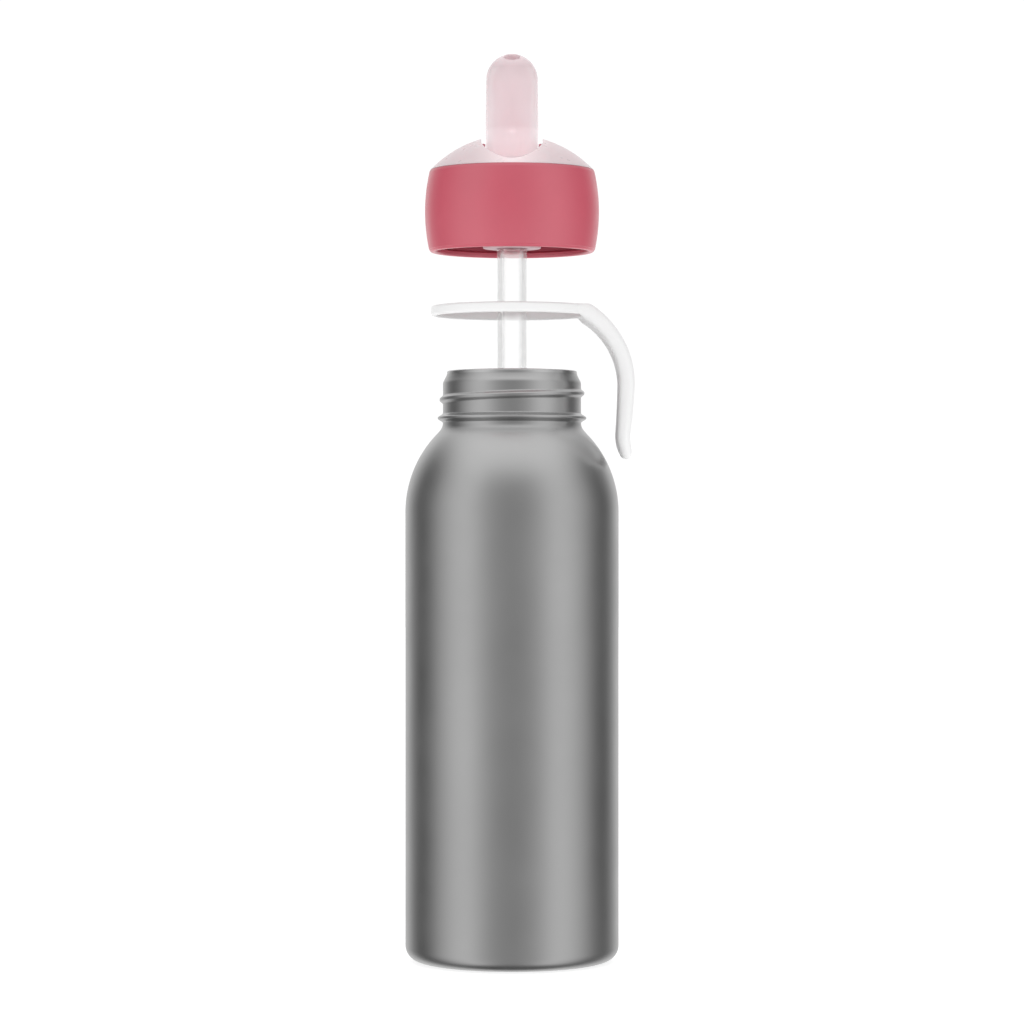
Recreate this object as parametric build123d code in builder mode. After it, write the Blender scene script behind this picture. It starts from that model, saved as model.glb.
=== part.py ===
from build123d import *
import os

# A small insulated drinking bottle with a flip-up straw spout, laid out as it comes apart:
# the carry ring floats above the bottle and the cap floats above the ring.
# Millimetres. +Z is up, the origin is the centre of the base, the spout flips towards -Y
# and the carry loop hangs on the +X side.

os.makedirs("parts", exist_ok=True)

# ---- how far apart the parts stand -------------------------------------------------------
ring_lift = 35.75  # from its seat on the shoulder up to where the carry ring floats
cap_lift = 12.25  # how much further the cap floats above the ring
thread_lead = 4.0  # rise of the cap in one turn
cap_offset = ring_lift + cap_lift + thread_lead  # cap height above its screwed-down place

# ---- bottle: outer shell -----------------------------------------------------------------
body_r = 32.6
shell_wall = 0.7
corner_r = 4.6
shoulder_z = 136.9  # top of the straight wall
shoulder_arc = 34.3  # radius of the shoulder in profile
shoulder_end_r = 22.0
neck_r = 21.13
neck_foot_z = 162.9
bead_r = 22.7
bead_z = 165.6
bead_half = 1.45
lip_low_z = 176.5
lip_high_z = 179.0
lip_high_r = 19.95
rim_z = 180.1
foot_flange_r = 25.5
foot_flange_height = 3.2

# ---- bottle: thread ----------------------------------------------------------------------
ridge_crest_r = 22.15
ridge_start_z = 169.7  # height of the middle of the ridge where it starts
ridge_start = 45
ridge_turns = 1.25
ridge_foot_half = 1.15
ridge_crest_half = 0.4

# ---- bottle: liner -----------------------------------------------------------------------
vacuum_gap = 2.0
liner_wall = 0.6
liner_neck_r = 19.0
liner_floor_z = 6.5
liner_corner_r = 8.0
liner_r = body_r - shell_wall - vacuum_gap
mouth_r = liner_neck_r - liner_wall

# ---- carry ring --------------------------------------------------------------------------
ring_bottom_z = 196.75
ring_height = 3.2
ring_top_z = ring_bottom_z + ring_height
ring_bore_r = 22.9
ring_r = 24.75
loop_outer_centre_r = 9.4  # centre of the loop's outer arch, from the bottle's axis
loop_inner_centre_r = 10.3
loop_centre_z = 176.0
loop_outer_arc = 29.5
loop_inner_arc = 24.0
loop_tip_z = 153.0
loop_tip_inner_r = 32.95
loop_tip_outer_r = 36.3
loop_top_half_width = 14.6
loop_tip_half_width = 12.6
loop_arm_width = 4.5

# ---- cap ---------------------------------------------------------------------------------
collar_bottom_z = 216.3
collar_top_z = 241.3
collar_mid_z = 228.7
collar_mid_r = 26.62
collar_arc = 55.0
collar_bore_r = 24.0
collar_mouth_r = 23.3
core_r = 23.95
core_bore_r = 22.55
core_bottom_z = 218.4
core_step_z = 238.4
seat_z = rim_z + 1.6 + cap_offset  # underside of the ceiling, where the gasket is pressed
floor_z = 236.2  # floor of the trough that the spout lies in
cap_ridge_crest_r = 21.45
cap_ridge_start = 135
dome_r = 34.33
dome_centre_z = 217.8
dome_wall = 1.8
dome_skirt_r = 23.9
dome_skirt_wall = 1.3

# ---- spout -------------------------------------------------------------------------------
spout_r = 7.9  # at the tip's dome and round the hinge
spout_foot_r = 8.2
spout_foot_height = 8.6  # the widest place, from the hinge axis
spout_hub_height = 3.6
spout_bore_r = 5.9
spout_tip_hole_r = 2.45
spout_length = 27.3  # from the hinge axis to the centre of the rounded tip
spout_lean = 26.3  # degrees forward of upright when flipped up
pivot_y = 12.3
pivot_z = 244.6
pin_r = 1.6
pin_clearance = 0.05
pin_inner_x = 6.2
pin_outer_x = 9.6
trough_front_half = 9.45  # the front end is half an ellipse
trough_front_depth = 14.2
trough_front_centre_y = -9.3
trough_back_half = 8.22
trough_step_y = 7.0
trough_wall = 1.3

# ---- gasket, straw and its adapter -------------------------------------------------------
gasket_thickness = 1.6
gasket_r = 20.9
gasket_bore_r = 17.8
gasket_z = rim_z + ring_lift + cap_lift
straw_r = 4.55
straw_bore_r = 3.55
straw_foot_z = 14.7 + cap_offset
straw_top_z = 230.4
adapter_bottom_z = 217.4
adapter_flange_r = 8.9
adapter_flange_height = 1.4
adapter_tube_r = 6.6
adapter_bore_r = 4.65
adapter_top_z = 231.6
boss_bore_r = 6.95
boss_r = 8.7
boss_bottom_z = 224.6
o_ring_z = 228.4
o_ring_r = 6.15
o_ring_wire_r = 0.75


def ridge_section(radius, mid_z, degrees, scale, root_r, crest_r):
    """One slice of a thread ridge: a low trapezoid standing on the wall at root_r."""
    around = Plane.XZ.rotated((0, 0, degrees))
    foot = ridge_foot_half * scale
    crest = ridge_crest_half * scale
    tip_r = radius + (crest_r - radius) * scale
    with BuildSketch(around) as slice_sketch:
        with BuildLine():
            Polyline(
                (root_r, mid_z - foot),
                (tip_r, mid_z - crest),
                (tip_r, mid_z + crest),
                (root_r, mid_z + foot),
                close=True,
            )
        make_face()
    return slice_sketch.sketch


def ridge_sections(start, turns, start_z, wall_r, root_r, crest_r, step=22.5, fade=3):
    """Slices of a single-start right-hand ridge that grows out of the wall and sinks back."""
    count = round(turns * 360 / step)
    slices = []
    for index in range(count + 1):
        edge = min(index, count - index)
        scale = min(1.0, 0.12 + 0.88 * edge / fade)
        degrees = start + index * step
        height = start_z + thread_lead * index * step / 360
        slices.append(ridge_section(wall_r, height, degrees, scale, root_r, crest_r))
    return slices


# ---- outer shell of the bottle -----------------------------------------------------------
shoulder_centre_r = body_r - shoulder_arc
inner_shoulder_arc = shoulder_arc - shell_wall
shoulder_end_z = shoulder_z + (shoulder_arc**2 - (shoulder_end_r - shoulder_centre_r) ** 2) ** 0.5
inner_end_r = neck_r - shell_wall
inner_end_z = shoulder_z + (inner_shoulder_arc**2 - (inner_end_r - shoulder_centre_r) ** 2) ** 0.5

with BuildPart() as outer_shell:
    with BuildSketch(Plane.XZ) as shell_profile:
        with BuildLine():
            Line((foot_flange_r, 0), (body_r - corner_r, 0))
            RadiusArc((body_r - corner_r, 0), (body_r, corner_r), -corner_r)
            Line((body_r, corner_r), (body_r, shoulder_z))
            RadiusArc((body_r, shoulder_z), (shoulder_end_r, shoulder_end_z), -shoulder_arc)
            Line((shoulder_end_r, shoulder_end_z), (neck_r, neck_foot_z))
            Line((neck_r, neck_foot_z), (neck_r, bead_z - bead_half))
            ThreePointArc(
                (neck_r, bead_z - bead_half),
                (bead_r, bead_z),
                (neck_r, bead_z + bead_half),
            )
            Line((neck_r, bead_z + bead_half), (neck_r, lip_low_z))
            Line((neck_r, lip_low_z), (lip_high_r, lip_high_z))
            Line((lip_high_r, lip_high_z), (liner_neck_r, lip_high_z))
            Line((liner_neck_r, lip_high_z), (liner_neck_r, lip_high_z - 1.0))
            Line((liner_neck_r, lip_high_z - 1.0), (inner_end_r, lip_low_z - 0.6))
            Line((inner_end_r, lip_low_z - 0.6), (inner_end_r, inner_end_z))
            RadiusArc(
                (inner_end_r, inner_end_z),
                (body_r - shell_wall, shoulder_z),
                inner_shoulder_arc,
            )
            Line((body_r - shell_wall, shoulder_z), (body_r - shell_wall, corner_r))
            RadiusArc(
                (body_r - shell_wall, corner_r),
                (body_r - corner_r, shell_wall),
                corner_r - shell_wall,
            )
            Line((body_r - corner_r, shell_wall), (foot_flange_r + shell_wall, shell_wall))
            Line(
                (foot_flange_r + shell_wall, shell_wall),
                (foot_flange_r + shell_wall, foot_flange_height),
            )
            Line(
                (foot_flange_r + shell_wall, foot_flange_height),
                (foot_flange_r, foot_flange_height),
            )
            Line((foot_flange_r, foot_flange_height), (foot_flange_r, 0))
        make_face()
    revolve(axis=Axis.Z)
    loft(
        ridge_sections(
            ridge_start,
            ridge_turns,
            ridge_start_z,
            neck_r,
            neck_r - 0.35,
            ridge_crest_r,
        )
    )
outer_shell.part.label = "outer_shell"

# ---- inner liner: the flask that holds the drink -----------------------------------------
liner_shoulder_arc = liner_r - shoulder_centre_r
liner_inner_arc = liner_shoulder_arc - liner_wall
liner_end_z = shoulder_z + (liner_shoulder_arc**2 - (liner_neck_r - shoulder_centre_r) ** 2) ** 0.5
liner_inner_z = shoulder_z + (liner_inner_arc**2 - (mouth_r - shoulder_centre_r) ** 2) ** 0.5
liner_in_r = liner_r - liner_wall
rim_overhang_r = lip_high_r - 0.1
rim_round = 0.35

with BuildPart() as inner_liner:
    with BuildSketch(Plane.XZ) as liner_profile:
        with BuildLine():
            Line((0, liner_floor_z), (liner_r - liner_corner_r, liner_floor_z))
            RadiusArc(
                (liner_r - liner_corner_r, liner_floor_z),
                (liner_r, liner_floor_z + liner_corner_r),
                -liner_corner_r,
            )
            Line((liner_r, liner_floor_z + liner_corner_r), (liner_r, shoulder_z))
            RadiusArc((liner_r, shoulder_z), (liner_neck_r, liner_end_z), -liner_shoulder_arc)
            Line((liner_neck_r, liner_end_z), (liner_neck_r, lip_high_z))
            Line((liner_neck_r, lip_high_z), (rim_overhang_r, lip_high_z))
            Line((rim_overhang_r, lip_high_z), (rim_overhang_r, rim_z - rim_round))
            RadiusArc(
                (rim_overhang_r, rim_z - rim_round),
                (rim_overhang_r - rim_round, rim_z),
                -rim_round,
            )
            Line((rim_overhang_r - rim_round, rim_z), (mouth_r + rim_round, rim_z))
            RadiusArc((mouth_r + rim_round, rim_z), (mouth_r, rim_z - rim_round), -rim_round)
            Line((mouth_r, rim_z - rim_round), (mouth_r, liner_inner_z))
            RadiusArc((mouth_r, liner_inner_z), (liner_in_r, shoulder_z), liner_inner_arc)
            Line((liner_in_r, shoulder_z), (liner_in_r, liner_floor_z + liner_corner_r))
            RadiusArc(
                (liner_in_r, liner_floor_z + liner_corner_r),
                (liner_r - liner_corner_r, liner_floor_z + liner_wall),
                liner_corner_r - liner_wall,
            )
            Line(
                (liner_r - liner_corner_r, liner_floor_z + liner_wall),
                (0, liner_floor_z + liner_wall),
            )
            Line((0, liner_floor_z + liner_wall), (0, liner_floor_z))
        make_face()
    revolve(axis=Axis.Z)
inner_liner.part.label = "inner_liner"

# ---- base: the cup that closes the vacuum, its getter and seal, and the cover disc -------
cup_r = foot_flange_r - 0.05
cup_plate_z = foot_flange_height - shell_wall
evacuation_hole_r = 0.8
seal_r = 2.5
getter_r = 6.5
disc_z = 0.0
disc_height = 1.2

with BuildPart() as base_cup:
    with BuildSketch(Plane.XY.offset(cup_plate_z)) as cup_plate:
        Circle(cup_r)
        Circle(evacuation_hole_r, mode=Mode.SUBTRACT)
    extrude(amount=shell_wall)
    with BuildSketch(Plane.XY.offset(disc_z)) as cup_wall:
        Circle(cup_r)
        Circle(cup_r - shell_wall, mode=Mode.SUBTRACT)
    extrude(amount=cup_plate_z - disc_z)
base_cup.part.label = "base_cup"

with BuildPart() as getter:
    with BuildSketch(Plane.XY.offset(foot_flange_height)) as getter_ring:
        Circle(getter_r)
        Circle(getter_r - 3.0, mode=Mode.SUBTRACT)
    extrude(amount=1.6)
    fillet(getter.faces().sort_by(Axis.Z)[-1].edges(), 0.4)
getter.part.label = "getter"

with BuildPart() as vacuum_seal:
    with BuildSketch(Plane.XY.offset(cup_plate_z - 0.8)) as seal_bead:
        Circle(seal_r)
    extrude(amount=0.8)
    fillet(vacuum_seal.faces().sort_by(Axis.Z)[0].edges(), 0.5)
vacuum_seal.part.label = "vacuum_seal"

with BuildPart() as base_disc:
    with BuildSketch(Plane.XY.offset(disc_z)) as disc_plate:
        Circle(cup_r - shell_wall - 0.05)
    extrude(amount=disc_height)
    chamfer(base_disc.faces().sort_by(Axis.Z)[0].edges(), 0.3)
base_disc.part.label = "base_disc"

# ---- carry ring with its hanging loop ----------------------------------------------------
loop_sweep = 80  # degrees of revolved band that the loop is cut from
tip_mid_r = (loop_tip_inner_r + loop_tip_outer_r) / 2
tip_half = (loop_tip_outer_r - loop_tip_inner_r) / 2
loop_root_z = ring_bottom_z + 1.0
inner_start_r = ring_bore_r + 0.6
inner_start_rise = (loop_inner_arc**2 - (inner_start_r - loop_inner_centre_r) ** 2) ** 0.5
inner_start_z = loop_centre_z + inner_start_rise
outer_start_run = (loop_outer_arc**2 - (ring_top_z - loop_centre_z) ** 2) ** 0.5
outer_start_r = loop_outer_centre_r + outer_start_run
loop_outer_r = loop_outer_centre_r + loop_outer_arc
loop_inner_r = loop_inner_centre_r + loop_inner_arc
window_top_half = loop_top_half_width - loop_arm_width
window_tip_half = loop_tip_half_width - loop_arm_width
loop_end_height = 5.2
loop_reach = 60  # further out than the loop
loop_corner_r = 6.0
window_corner_r = 5.0

with BuildPart() as carry_ring:
    with BuildSketch(Plane.XZ.rotated((0, 0, -loop_sweep / 2))) as loop_band:
        with BuildLine():
            Line((ring_bore_r - 1.0, ring_top_z), (outer_start_r, ring_top_z))
            RadiusArc(
                (outer_start_r, ring_top_z),
                (loop_outer_r, loop_centre_z),
                loop_outer_arc,
            )
            Line(
                (loop_outer_r, loop_centre_z),
                (loop_tip_outer_r, loop_tip_z + tip_half),
            )
            ThreePointArc(
                (loop_tip_outer_r, loop_tip_z + tip_half),
                (tip_mid_r, loop_tip_z),
                (loop_tip_inner_r, loop_tip_z + tip_half),
            )
            Line(
                (loop_tip_inner_r, loop_tip_z + tip_half),
                (loop_inner_r, loop_centre_z),
            )
            RadiusArc(
                (loop_inner_r, loop_centre_z),
                (inner_start_r, inner_start_z),
                -loop_inner_arc,
            )
            Line((inner_start_r, inner_start_z), (inner_start_r, loop_root_z))
            Line((inner_start_r, loop_root_z), (ring_bore_r - 1.0, loop_root_z))
            Line((ring_bore_r - 1.0, loop_root_z), (ring_bore_r - 1.0, ring_top_z))
        make_face()
    revolve(axis=Axis.Z, revolution_arc=loop_sweep)
    with BuildSketch(Plane.YZ) as loop_outline:
        with BuildLine():
            Polyline(
                (-loop_top_half_width, ring_top_z + 1),
                (-loop_tip_half_width, loop_tip_z - 1),
                (loop_tip_half_width, loop_tip_z - 1),
                (loop_top_half_width, ring_top_z + 1),
                close=True,
            )
        make_face()
        fillet(loop_outline.vertices().group_by(Axis.Y)[0], loop_corner_r)
    extrude(amount=loop_reach, mode=Mode.INTERSECT)
    with BuildSketch(Plane.YZ) as loop_window:
        with BuildLine():
            Polyline(
                (-window_top_half, ring_top_z + 5),
                (-window_tip_half, loop_tip_z + loop_end_height),
                (window_tip_half, loop_tip_z + loop_end_height),
                (window_top_half, ring_top_z + 5),
                close=True,
            )
        make_face()
        fillet(loop_window.vertices().group_by(Axis.Y)[0], window_corner_r)
    extrude(amount=loop_reach, mode=Mode.SUBTRACT)
    with BuildSketch(Plane.XY.offset(ring_bottom_z)) as ring_plate:
        Circle(ring_r)
    extrude(amount=ring_height)
    with BuildSketch(Plane.XY.offset(ring_bottom_z - 10)) as ring_bore:
        Circle(ring_bore_r)
    extrude(amount=30, mode=Mode.SUBTRACT)
    ring_edges = carry_ring.edges().filter_by(GeomType.CIRCLE)
    fillet(ring_edges.filter_by(lambda e: abs(e.radius - ring_bore_r) < 0.01), 0.5)
carry_ring.part.label = "carry_ring"

# ---- cap: collar, the sleeve that is gripped ---------------------------------------------
def collar_radius(height):
    """Outer radius of the barrelled collar at a height."""
    return collar_mid_r - collar_arc + (collar_arc**2 - (height - collar_mid_z) ** 2) ** 0.5


collar_lip = 0.8
collar_top_round = 0.35

with BuildPart() as cap_collar:
    with BuildSketch(Plane.XZ) as collar_profile:
        with BuildLine():
            ThreePointArc(
                (collar_radius(collar_bottom_z + collar_lip), collar_bottom_z + collar_lip),
                (collar_mid_r, collar_mid_z),
                (collar_radius(collar_top_z - collar_top_round), collar_top_z - collar_top_round),
            )
            Line(
                (collar_radius(collar_top_z - collar_top_round), collar_top_z - collar_top_round),
                (collar_radius(collar_top_z) - collar_top_round, collar_top_z),
            )
            Line(
                (collar_radius(collar_top_z) - collar_top_round, collar_top_z),
                (collar_bore_r, collar_top_z),
            )
            Line((collar_bore_r, collar_top_z), (collar_bore_r, core_bottom_z))
            Line((collar_bore_r, core_bottom_z), (collar_mouth_r, core_bottom_z - 0.7))
            Line(
                (collar_mouth_r, core_bottom_z - 0.7),
                (collar_mouth_r, collar_bottom_z + collar_lip),
            )
            RadiusArc(
                (collar_mouth_r, collar_bottom_z + collar_lip),
                (collar_mouth_r + collar_lip, collar_bottom_z),
                -collar_lip,
            )
            Line(
                (collar_mouth_r + collar_lip, collar_bottom_z),
                (collar_radius(collar_bottom_z) - collar_lip, collar_bottom_z),
            )
            Line(
                (collar_radius(collar_bottom_z) - collar_lip, collar_bottom_z),
                (collar_radius(collar_bottom_z + collar_lip), collar_bottom_z + collar_lip),
            )
        make_face()
    revolve(axis=Axis.Z)
cap_collar.part.label = "cap_collar"


# ---- outline of the trough that the folded spout lies in ---------------------------------
def trough_outline(grow):
    """Rounded slot seen from above: wide over the lying spout, narrower beside its hub."""
    front = trough_front_half + grow
    back = trough_back_half + grow
    with BuildSketch() as outline:
        with Locations((0, trough_front_centre_y)):
            Ellipse(front, trough_front_depth + grow)
        with Locations((0, (trough_front_centre_y + trough_step_y) / 2)):
            Rectangle(2 * front, trough_step_y - trough_front_centre_y)
        with Locations((0, (trough_step_y + pivot_y) / 2)):
            Rectangle(2 * back, pivot_y - trough_step_y)
        with Locations((0, pivot_y)):
            Circle(back)
    return outline.sketch


# ---- cap core: thread, ceiling, straw boss, duct and trough ------------------------------
duct_half = 1.9
duct_low_z = 233.2
duct_height = 1.6
duct_floor_z = duct_low_z + 0.5
ceiling_low_z = seat_z
vent_y = -13.2
vent_r = 1.6
seal_pocket_r = 4.4
seal_pocket_z = 235.3
seal_height = 1.05  # stays below the spout when it lies in the trough
port_r = 2.0
ridge_gap_turns = (cap_ridge_start - ridge_start) / 360
cap_ridge_z = ridge_start_z + cap_offset - thread_lead / 2 + thread_lead * ridge_gap_turns
under_r = dome_r - dome_wall - 0.1  # the trough's walls reach up to just under the dome
core_neck_r = 22.4
core_neck_top_z = dome_centre_z + (under_r**2 - core_neck_r**2) ** 0.5

with BuildPart() as cap_core:
    with BuildSketch(Plane.XY.offset(core_bottom_z)) as core_sleeve:
        Circle(core_r)
        Circle(core_bore_r, mode=Mode.SUBTRACT)
    extrude(amount=core_step_z - core_bottom_z)
    with BuildSketch(Plane.XY.offset(ceiling_low_z)) as ceiling:
        Circle(core_bore_r + 0.5)
    extrude(amount=floor_z - ceiling_low_z)
    with BuildSketch(Plane.XY.offset(boss_bottom_z)) as straw_boss:
        Circle(boss_r)
        Circle(boss_bore_r, mode=Mode.SUBTRACT)
    extrude(amount=ceiling_low_z - boss_bottom_z)
    with BuildSketch(Plane.XY.offset(floor_z)) as trough_wall_sketch:
        add(trough_outline(trough_wall))
        add(trough_outline(0), mode=Mode.SUBTRACT)
    extrude(amount=30)
    with BuildSketch(Plane.XZ) as under_dome:
        with BuildLine():
            Line((0, boss_bottom_z - 20), (core_r, boss_bottom_z - 20))
            Line((core_r, boss_bottom_z - 20), (core_r, core_step_z))
            Line((core_r, core_step_z), (core_neck_r, core_step_z))
            Line((core_neck_r, core_step_z), (core_neck_r, core_neck_top_z))
            RadiusArc((core_neck_r, core_neck_top_z), (0, dome_centre_z + under_r), -under_r)
            Line((0, dome_centre_z + under_r), (0, boss_bottom_z - 20))
        make_face()
    revolve(axis=Axis.Z, mode=Mode.INTERSECT)
    # duct from the straw back to the port under the spout's hub
    with BuildSketch(Plane.XY.offset(duct_floor_z)) as duct:
        with Locations((0, pivot_y / 2)):
            SlotOverall(pivot_y + 2 * duct_half, 2 * duct_half, rotation=90)
    extrude(amount=duct_low_z + duct_height - duct_floor_z, mode=Mode.SUBTRACT)
    with BuildSketch(Plane.XY.offset(ceiling_low_z - 1)) as straw_port:
        Circle(duct_half)
    extrude(amount=duct_low_z + duct_height - ceiling_low_z + 1, mode=Mode.SUBTRACT)
    with BuildSketch(Plane.XY.offset(duct_floor_z)) as spout_port:
        with Locations((0, pivot_y)):
            Circle(port_r)
    extrude(amount=5, mode=Mode.SUBTRACT)
    with BuildSketch(Plane.XY.offset(seal_pocket_z)) as seal_pocket:
        with Locations((0, pivot_y)):
            Circle(seal_pocket_r)
    extrude(amount=5, mode=Mode.SUBTRACT)
    with BuildSketch(Plane.XY.offset(ceiling_low_z - 1)) as vent_hole:
        with Locations((0, vent_y)):
            Circle(vent_r)
    extrude(amount=5, mode=Mode.SUBTRACT)
    with BuildSketch(Plane.YZ.offset(-15)) as pin_bore:
        with Locations((pivot_y, pivot_z)):
            Circle(pin_r)
    extrude(amount=30, mode=Mode.SUBTRACT)
    loft(
        ridge_sections(
            cap_ridge_start,
            1.0,
            cap_ridge_z,
            core_bore_r,
            core_bore_r + 0.4,
            cap_ridge_crest_r,
        )
    )
cap_core.part.label = "cap_core"

# ---- dome: the translucent top with the slot for the spout -------------------------------
dome_edge_r = (dome_r**2 - (collar_top_z - dome_centre_z) ** 2) ** 0.5
dome_in_r = dome_r - dome_wall
skirt_in_r = dome_skirt_r - dome_skirt_wall
skirt_top_z = dome_centre_z + (dome_in_r**2 - skirt_in_r**2) ** 0.5

with BuildPart() as dome_cover:
    with BuildSketch(Plane.XZ) as dome_profile:
        with BuildLine():
            RadiusArc((dome_edge_r, collar_top_z + 0.05), (0, dome_centre_z + dome_r), -dome_r)
            Line((0, dome_centre_z + dome_r), (0, dome_centre_z + dome_in_r))
            RadiusArc((0, dome_centre_z + dome_in_r), (skirt_in_r, skirt_top_z), dome_in_r)
            Line((skirt_in_r, skirt_top_z), (skirt_in_r, core_step_z + 0.05))
            Line((skirt_in_r, core_step_z + 0.05), (dome_skirt_r, core_step_z + 0.05))
            Line((dome_skirt_r, core_step_z + 0.05), (dome_skirt_r, collar_top_z + 0.05))
            Line((dome_skirt_r, collar_top_z + 0.05), (dome_edge_r, collar_top_z + 0.05))
        make_face()
    revolve(axis=Axis.Z)
    with BuildSketch(Plane.XY.offset(floor_z)) as dome_slot:
        add(trough_outline(0))
    extrude(amount=30, mode=Mode.SUBTRACT)
dome_cover.part.label = "dome_cover"

# ---- spout, drawn along its own axis from the hinge --------------------------------------
spout_plane = Plane(
    origin=(0, pivot_y, pivot_z),
    x_dir=(1, 0, 0),
    z_dir=Vector(0, 0, 1).rotate(Axis.X, spout_lean),
)
spout_section = Plane(origin=spout_plane.origin, x_dir=(1, 0, 0), z_dir=-spout_plane.y_dir)
spout_axis = Axis(origin=spout_plane.origin, direction=spout_plane.z_dir)
passage_low = -5.0  # the passage starts this far behind the hinge axis
passage_r = 3.5
bore_step_low = 3.8  # the passage widens to the bore between these heights above the axis
bore_step_high = 4.8
tip_skin = 5.25  # height of the underside of the tip above the centre of its dome
tip_shoulder = (4.6, 3.7)
tip_edge = (spout_r**2 - spout_tip_hole_r**2) ** 0.5
side_reach = 15  # further out than the spout and its cheeks

with BuildPart() as spout:
    with BuildSketch(spout_section) as spout_side:
        with BuildLine():
            Line((0, -spout_r), (0, passage_low))
            Line((0, passage_low), (passage_r, passage_low))
            Line((passage_r, passage_low), (passage_r, bore_step_low))
            Line((passage_r, bore_step_low), (spout_bore_r, bore_step_high))
            Line((spout_bore_r, bore_step_high), (spout_bore_r, spout_length))
            ThreePointArc(
                (spout_bore_r, spout_length),
                (tip_shoulder[0], spout_length + tip_shoulder[1]),
                (spout_tip_hole_r, spout_length + tip_skin),
            )
            Line(
                (spout_tip_hole_r, spout_length + tip_skin),
                (spout_tip_hole_r, spout_length + tip_edge),
            )
            RadiusArc(
                (spout_tip_hole_r, spout_length + tip_edge),
                (spout_r, spout_length),
                spout_r,
            )
            Line((spout_r, spout_length), (spout_foot_r, spout_foot_height))
            Line((spout_foot_r, spout_foot_height), (spout_r, spout_hub_height))
            Line((spout_r, spout_hub_height), (spout_r, 0))
            RadiusArc((spout_r, 0), (0, -spout_r), spout_r)
        make_face()
    revolve(axis=spout_axis)
    with BuildSketch(Plane.YZ.offset(-side_reach)) as hub_bore_left:
        with Locations((pivot_y, pivot_z)):
            Circle(pin_r + pin_clearance)
    extrude(amount=side_reach - pin_inner_x + 0.1, mode=Mode.SUBTRACT)
    with BuildSketch(Plane.YZ.offset(pin_inner_x - 0.1)) as hub_bore_right:
        with Locations((pivot_y, pivot_z)):
            Circle(pin_r + pin_clearance)
    extrude(amount=side_reach, mode=Mode.SUBTRACT)
    # the passage leaves the hub straight down when the spout is up
    with BuildSketch(Plane.XY.offset(pivot_z - spout_r - 1)) as hub_port:
        with Locations((0, pivot_y)):
            Circle(port_r)
    extrude(amount=spout_r + 1, mode=Mode.SUBTRACT)
spout.part.label = "spout"

# ---- soft bell inside the foot of the spout ----------------------------------------------
bell_low = bore_step_high + 0.05
bell_shoulder = bell_low + 2.0
bell_top = bell_low + 6.2
bell_r = spout_bore_r - 0.05
bell_hole_r = 1.3
bell_top_r = 2.4

with BuildPart() as spout_insert:
    with BuildSketch(spout_section) as bell_side:
        with BuildLine():
            Line((bell_hole_r, bell_low), (bell_r, bell_low))
            Line((bell_r, bell_low), (bell_r, bell_shoulder))
            Spline(
                (bell_r, bell_shoulder),
                (3.9, bell_low + 4.3),
                (bell_top_r, bell_top),
            )
            Line((bell_top_r, bell_top), (bell_hole_r, bell_top))
            Line((bell_hole_r, bell_top), (bell_hole_r, bell_low))
        make_face()
    revolve(axis=spout_axis)
spout_insert.part.label = "spout_insert"

# ---- hinge pins, one through each cheek of the trough ------------------------------------
with BuildPart() as hinge_pins:
    for side in (-1, 1):
        with BuildSketch(Plane.YZ.offset(side * pin_inner_x)) as pin_end:
            with Locations((pivot_y, pivot_z)):
                Circle(pin_r)
        extrude(amount=side * (pin_outer_x - pin_inner_x))
hinge_pins.part.label = "hinge_pins"

# ---- seal under the hub of the spout -----------------------------------------------------
with BuildPart() as spout_seal:
    with BuildSketch(Plane.XY.offset(seal_pocket_z)) as seal_ring:
        with Locations((0, pivot_y)):
            Circle(seal_pocket_r)
            Circle(port_r, mode=Mode.SUBTRACT)
    extrude(amount=seal_height)
    with Locations((0, pivot_y, pivot_z)):
        Sphere(spout_r + 0.3, mode=Mode.SUBTRACT)
spout_seal.part.label = "spout_seal"

# ---- one-way air vent in the ceiling -----------------------------------------------------
with BuildPart() as vent_valve:
    with BuildSketch(Plane.XY.offset(ceiling_low_z - 2.0)) as vent_stem:
        with Locations((0, vent_y)):
            Circle(vent_r)
    extrude(amount=2.0 + floor_z - ceiling_low_z)
    with BuildSketch(Plane.XY.offset(ceiling_low_z - 1.1)) as vent_flange:
        with Locations((0, vent_y)):
            Circle(vent_r + 1.1)
    extrude(amount=1.05)
    with BuildSketch(Plane.XY.offset(ceiling_low_z - 5.0)) as vent_slit:
        with Locations((0, vent_y)):
            Rectangle(2 * vent_r - 0.4, 0.5)
    with BuildSketch(Plane.XY.offset(ceiling_low_z - 2.0)) as vent_root:
        with Locations((0, vent_y)):
            Rectangle(2 * vent_r - 0.4, 2.2)
    loft([vent_slit.sketch, vent_root.sketch])
vent_valve.part.label = "vent_valve"

# ---- neck gasket, which stays on the rim of the bottle -----------------------------------
with BuildPart() as neck_gasket:
    with BuildSketch(Plane.XY.offset(gasket_z)) as gasket_ring:
        Circle(gasket_r)
        Circle(gasket_bore_r, mode=Mode.SUBTRACT)
    extrude(amount=gasket_thickness)
    fillet(neck_gasket.edges(), 0.3)
neck_gasket.part.label = "neck_gasket"

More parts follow.
